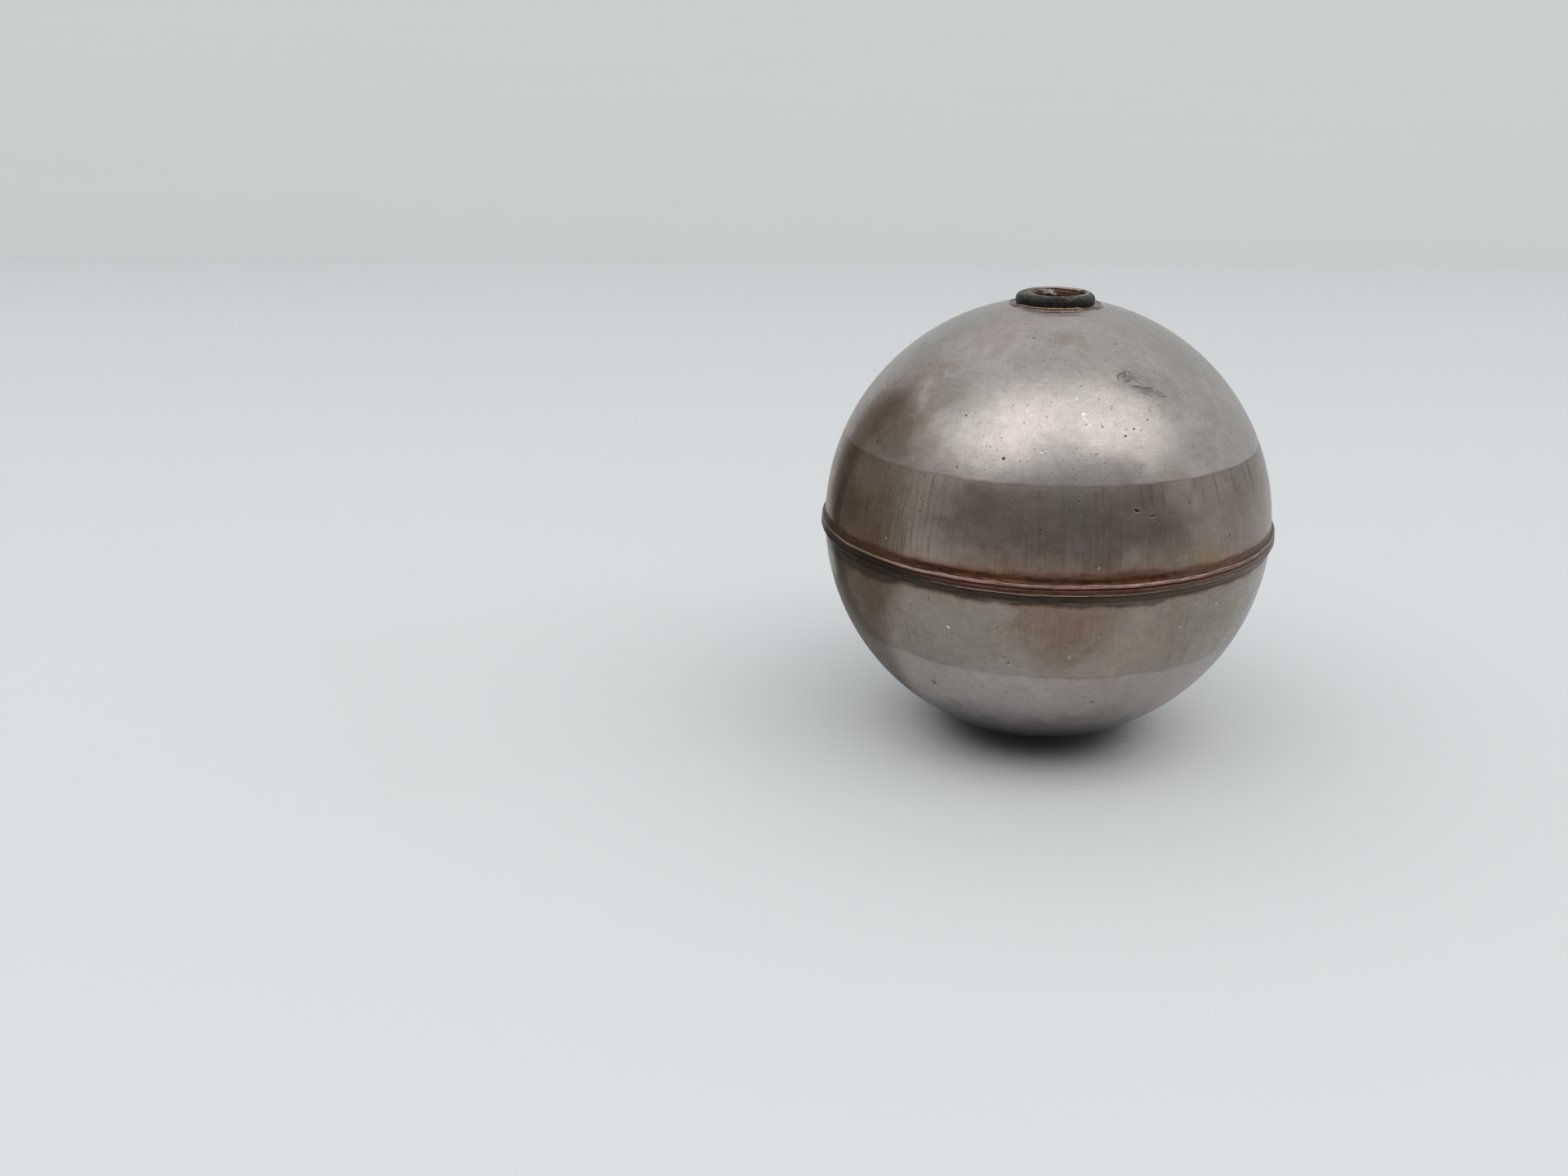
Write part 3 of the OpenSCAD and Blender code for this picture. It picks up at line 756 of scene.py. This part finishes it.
# The run under the lips, burnt to a black-green flux skin.
lower_run = turn("lower_seam_run", [
    (32.12, -0.68), (32.09, -0.76), (32.0, -0.86), (31.9, -1.0), (31.82, -1.18), (31.768, -1.36),
    (31.735, -1.52), (31.69, -1.62), (31.66, -1.5), (31.66, -LIP_BACK), (32.12, -LIP_BACK),
    (32.12, -0.68)], SEAM_STEPS)
uneven(lower_run, 3.5, 0.06, lambda radius, height:
       (-height - 0.7) / 0.3 * min(1, (radius - 31.69) / 0.05))
lower_run.data.materials.append(copper_braze(
    "burnt_flux_skin", edges=(-1.6, -0.7), roughness=(0.36, 0.5),
    tones=[(0.0, "#42352b"), (0.3, "#3d342c"), (0.6, "#3c362f"), (1.0, "#362f28")],
    patches=[(6, 0.14, "#59463a", 0.55, 0.2), (4, 0.3, "#25221e", 0.6, 0.18),
             (1.0, 0.4, "#5a5148", 0.35, 0.15)],
    sides=[(50, 30, -1.7, -0.6, "#6a5648", 0.3), (22, 14, -1.7, -0.6, "#63503f", 0.4),
           (-58, 28, -1.7, -0.6, "#24221d", 0.7)]))
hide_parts("lower_seam_fillet")
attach(lower_run, "root")


# ---------------------------------------------------------------- Threaded bush
# A turned steel bush with a fat rounded rim, blackened in the furnace. Its blind hole is
# tapped 5/16-18 and countersunk, a little off its middle, with copper run round its mouth.
SEAT = -SEAM_Z / MM
NECK_R = 5.425
THREAD_PITCH = 25.4 / 18
THREAD_MAJOR = 25.4 * 5 / 32
THREAD_MINOR = 3.27
HOLE_DEEP = 9.0
DRILL_POINT = 1.965
MOUTH_R = 3.95
MOUTH_ASIDE = 0.45
FLANGE_R = 8.0
# The flange's face, the steps round the bush, and the fine rings that the thread is cut from
BED_R = 31.05
BUSH_STEPS = 192
BORE_RINGS = 104
RING_STEP = 0.085
bush_low, bush_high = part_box("threaded_bush")
BUSH_FOOT = (bush_low.z - SEAM_Z) / MM
bed = arc(BED_R, math.degrees(math.acos(FLANGE_R / BED_R)),
          math.degrees(math.acos(NECK_R / BED_R)), 6)
rim = [(NECK_R, 31.1), (5.39, 31.3), (5.40, 31.5), (5.44, SEAT - 1.1), (5.44, SEAT - 0.88),
       (5.38, SEAT - 0.64), (5.26, SEAT - 0.44), (5.07, SEAT - 0.27), (4.83, SEAT - 0.14),
       (4.56, SEAT - 0.06), (4.30, SEAT - 0.015), (4.10, SEAT)]
sink = [(MOUTH_R + 0.02, SEAT - 0.02), (MOUTH_R - 0.05, SEAT - 0.08)]
bore = [(THREAD_MINOR + max(0.0, MOUTH_R - 0.05 - THREAD_MINOR - RING_STEP * i),
         SEAT - 0.08 - RING_STEP * (i + 1)) for i in range(BORE_RINGS)]
bush = turn("blackened_bush", (
    [(0, BUSH_FOOT), (5.0, BUSH_FOOT), (5.3, BUSH_FOOT + 0.1), (NECK_R, BUSH_FOOT + 0.35),
     (NECK_R, 28.3), (NECK_R + 0.15, 28.48), (7.8, 28.5), (7.95, 28.56), (FLANGE_R, 28.7)]
    + bed + rim + sink + bore
    + [(THREAD_MINOR, SEAT - HOLE_DEEP), (0, SEAT - HOLE_DEEP - DRILL_POINT)]), BUSH_STEPS)

# Cut the thread: the bore's wall goes out to the groove wherever the helix passes. Then push
# the mouth aside, most at the seat and least a little way down.
GROOVE_HALF = 0.44
MOUTH_REACH = 4.35
MOUTH_DEEP = 1.2
for vertex in bush.data.vertices:
    radius = math.hypot(vertex.co.x, vertex.co.y) / MM
    height = (vertex.co.z - SEAM_Z) / MM
    if radius < MOUTH_R and SEAT - HOLE_DEEP + 0.6 < height < SEAT - 0.1:
        turned = math.atan2(vertex.co.y, vertex.co.x) / math.tau
        phase = ((height - SEAT) / THREAD_PITCH - turned) % 1.0
        groove = THREAD_MINOR + (THREAD_MAJOR - THREAD_MINOR) * max(
            0.0, 1.0 - abs(phase - 0.5) / GROOVE_HALF)
        if groove > radius:
            vertex.co.x *= groove / radius
            vertex.co.y *= groove / radius
    if radius < MOUTH_REACH and height > SEAT - MOUTH_DEEP:
        share = (min(1.0, (MOUTH_REACH - radius) / 0.35)
                 * min(1.0, (height - SEAT + MOUTH_DEEP) / 0.8))
        vertex.co.x += MOUTH_ASIDE * MM * share
uneven(bush, 2.2, 0.2, lambda radius, height:
       min(1, (height - 31.2) / 0.5, (radius - 4.0) / 0.4)
       * min(1, max(0.25, (SEAT + 0.1 - height) / 0.4)))


def bush_black(name):
    """Steel blackened in the brazing furnace: near-black, rough and lumpy, greyer where rubbed
    on top of the rim, with copper and straw tints and painted highlights round the mouth and
    red-brown in the hole."""
    made, tree = new_material(name)
    ball, place, height = ball_place(tree)
    aside = add_node(tree, "VectorMath", {0: place, 1: (-MOUTH_ASIDE, 0, 0)}, operation="ADD")
    flat = add_node(tree, "VectorMath", {0: aside, 1: (1, 1, 0)}, operation="MULTIPLY")
    radius = add_node(tree, "VectorMath", {0: flat}, out="Value", operation="LENGTH")
    ragged = mottle(ball, 1.1, 1.1, -0.3, 0.3, 4.0)
    wide = add_node(tree, "Math", {0: ragged, 1: 0.3, 2: radius}, operation="MULTIPLY_ADD")
    raised = add_node(tree, "Math", {0: height, 1: ragged}, operation="ADD")
    colour = add_node(tree, "Mix", {
        0: mottle(ball, 0.7, 0.7, 0.0, 1.0, 4.0),
        6: linear("#20201f"), 7: linear("#383634")},
        out=2, data_type="RGBA")
    coats = []

    # Rubbed grey on top of the rim, with bright specks; browner to the left
    top = add_node(tree, "MapRange", {
        "Value": raised, "From Min": SEAT - 0.4, "From Max": SEAT - 0.02, "To Max": 0.65})
    coats.append((top, "#5a5652"))
    speck = mottle(ball, 0.35, 0.35, -2.2, 1.0, 2.0)
    speck = add_node(tree, "Math", {0: speck, 1: top}, operation="MULTIPLY", use_clamp=True)
    coats.append((speck, "#cfcac4"))
    lefthand = towards(ball, -80, 50, 0.6)
    coats.append((add_node(tree, "Math", {0: lefthand, 1: top}, operation="MULTIPLY"), "#7d6659"))

    # The mouth: tints by distance from the hole's axis, and on its lip a pale coppery painted
    # highlight at the back and a near-white one at the front right
    scaled = add_node(tree, "MapRange", {"Value": wide, "From Min": 3.0, "From Max": 4.6})
    tint = add_node(tree, "ValToRGB", {"Fac": scaled}, stops=[
        (0.0, "#3a201a"), (0.3, "#46271f"), (0.45, "#5b4136"), (0.58, "#7c695a"),
        (0.7, "#857462"), (1.0, "#5f564f")])
    inside = add_node(tree, "MapRange", {
        "Value": wide, "From Min": 4.25, "From Max": 4.02, "To Max": 0.9})
    above = add_node(tree, "MapRange", {
        "Value": height, "From Min": SEAT - 1.5, "From Max": SEAT - 1.0})
    inside = add_node(tree, "Math", {0: inside, 1: above}, operation="MULTIPLY")
    coats.append((inside, tint))
    lip = add_node(tree, "MapRange", {
        "Value": raised, "From Min": SEAT - 0.32, "From Max": SEAT - 0.16})
    # On the lip: painted highlights at the back and at the front right, and tints to the left.
    for turned, half_width, tone, strength in (
            (170, 75, "#d6beb3", 0.8), (-100, 45, "#8f8368", 0.7),
            (62, 38, "#e4ded8", 0.85), (-50, 25, "#c4c2bd", 0.5)):
        facing = towards(ball, turned, half_width, strength)
        facing = add_node(tree, "Math", {0: facing, 1: inside}, operation="MULTIPLY")
        coats.append((add_node(tree, "Math", {0: facing, 1: lip}, operation="MULTIPLY"), tone))

    # Pale crumbs of flux stuck inside the mouth, at the back and a little to the left
    crumbs = mottle(ball, 0.5, 0.5, -1.0, 1.7, 2.0, 0.3)
    crumbs = add_node(tree, "Math", {
        0: crumbs, 1: towards(ball, -165, 22, 1.0)}, operation="MULTIPLY", use_clamp=True)
    coats.append((add_node(tree, "Math", {0: crumbs, 1: inside}, operation="MULTIPLY"), "#aaa8a3"))
    colour = coated(tree, colour, coats)
    grit = mottle(ball, 0.3, 0.3, -0.02, 0.02, 3.0)
    bump = add_node(tree, "Bump", {"Height": grit, "Strength": 1.0, "Distance": MM})
    metal = add_node(tree, "BsdfPrincipled", {
        "Base Color": colour, "Metallic": 0.9,
        "Roughness": mottle(ball, 0.8, 0.8, 0.36, 0.55), "Normal": bump})
    add_node(tree, "OutputMaterial", {"Surface": metal})
    return made


bush.data.materials.append(bush_black("furnace_black_steel"))
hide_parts("threaded_bush")
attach(bush, "root")


# ---------------------------------------------------------------- Bush braze
# Copper drawn up round the neck in the shell's hole. It stands as a wavy bead against the
# bush, with a second, outer bead where the pool stopped on the shell.
POOL_STEPS = 288
film_end = math.sqrt((BALL_R - WALL) ** 2 - HOLE_R ** 2)
pool = turn("bush_braze_pool", [
    (NECK_R, film_end), (NECK_R - 0.04, 31.42), (5.47, 31.4), (5.58, 31.35), (5.78, 31.33),
    (6.02, 31.275), (6.27, 31.18), (6.48, 31.06), (6.46, 30.95), (HOLE_R, 31.1),
    (HOLE_R, film_end), (NECK_R, film_end)], POOL_STEPS)

# The outer shoulder of the pool stands proud only towards the front; elsewhere it is laid down
for vertex in pool.data.vertices:
    turned = math.degrees(math.atan2(vertex.co.x, -vertex.co.y))
    aside = min(1.0, max(0.0, (abs(turned + 10) - 42) / 8))
    here = math.hypot(vertex.co.x, vertex.co.y) / MM
    above = (vertex.co.z - SEAM_Z) / MM - math.sqrt(BALL_R ** 2 - here ** 2) - 0.02
    vertex.co.z -= max(0.0, above) * aside * MM
uneven(pool, 1.6, 0.03, lambda radius, height: (height - 31.05) / 0.2, "RGB_TO_XYZ")


def bead(name, radius, thick, stretches, step, sink):
    """A bead of braze lying on the shell round the bush. Over each stretch, in degrees from the
    front, it steps outwards; everywhere else it sinks by so much into the shell."""
    bpy.ops.object.select_all(action="DESELECT")
    bpy.ops.mesh.primitive_torus_add(
        location=(0, 0, SEAM_Z), major_segments=POOL_STEPS, minor_segments=12,
        major_radius=radius * MM, minor_radius=thick * MM)
    ring = bpy.context.object
    ring.name = ring.data.name = name
    bpy.ops.object.transform_apply(location=True, rotation=True, scale=True)
    for vertex in ring.data.vertices:
        turned = math.degrees(math.atan2(vertex.co.x, -vertex.co.y))
        share = max(min(1.0, (turned - start) / 5, (end - turned) / 5) for start, end in stretches)
        share = max(0.0, share)
        here = math.hypot(vertex.co.x, vertex.co.y) / MM
        vertex.co.x *= (here + step * share) / here
        vertex.co.y *= (here + step * share) / here
        centre = radius + step * share
        vertex.co.z += (math.sqrt(BALL_R ** 2 - centre ** 2) + thick * 0.6
                        - sink * (1 - share)) * MM
    bpy.ops.object.shade_smooth()
    uneven(ring, 2.4, 0.12, lambda radius, height: 1.0, "RGB_TO_XYZ")
    uneven(ring, 0.9, 0.06, lambda radius, height: 1.0)
    return ring


inner_bead = bead("inner_bead", 5.5, 0.1, [(34, 118), (-112, -55), (150, 172)], 0.68, 0.0)
outer_bead = bead("outer_bead", 6.62, 0.075, [(-15, 13), (52, 84), (-170, -140)], 0.0, 0.3)
bpy.ops.object.select_all(action="DESELECT")
for part in (inner_bead, outer_bead, pool):
    part.select_set(True)
bpy.context.view_layer.objects.active = pool
bpy.ops.object.join()
pool.data.materials.clear()
pool.data.materials.append(copper_braze(
    "bush_copper", edges=(31.0, 31.5), roughness=(0.24, 0.4),
    tones=[(0.0, "#998a80"), (0.2, "#8d7d73"), (0.35, "#8a776c"), (0.5, "#75604f"),
           (0.6, "#8a7468"), (0.72, "#dcc3b8"), (0.85, "#d0b3a6"), (1.0, "#4c3a33")],
    patches=[(2.0, 0.3, "#d8c0b5", 0.5, 0.2), (1.4, 0.2, "#5e463c", 0.55, 0.18)],
    sides=[(-70, 40, 30.9, 31.6, "#8c7d70", 0.35)]))
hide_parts("bush_braze")
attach(pool, "root")


# ---------------------------------------------------------------- Flange braze
# Braze over the bush's flange inside the ball, with a fillet round its edge. It is closed in
# for good, so it keeps a plain rounded form.
film_top = arc(BALL_R - WALL, 74.0, 80.0, 8)
flange_run = turn("flange_braze_run", film_top + [
    (NECK_R, 30.67)] + list(reversed(bed)) + [
    (FLANGE_R, 29.2), (8.1, 29.3), (8.25, 29.6), (8.45, 29.8), (8.6, 29.92), film_top[0]],
    BUSH_STEPS)
flange_run.data.materials.append(copper_braze(
    "flange_copper", edges=(29, 31.2), roughness=(0.3, 0.45),
    tones=[(0.0, "#8a6a5c"), (1.0, "#a98474")],
    patches=[(4, 1.0, "#b98f7e", 0.5, 0.22), (1.5, 0.5, "#5e3f34", 0.5, 0.18)], sides=[]))
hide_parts("flange_braze")
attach(flange_run, "root")
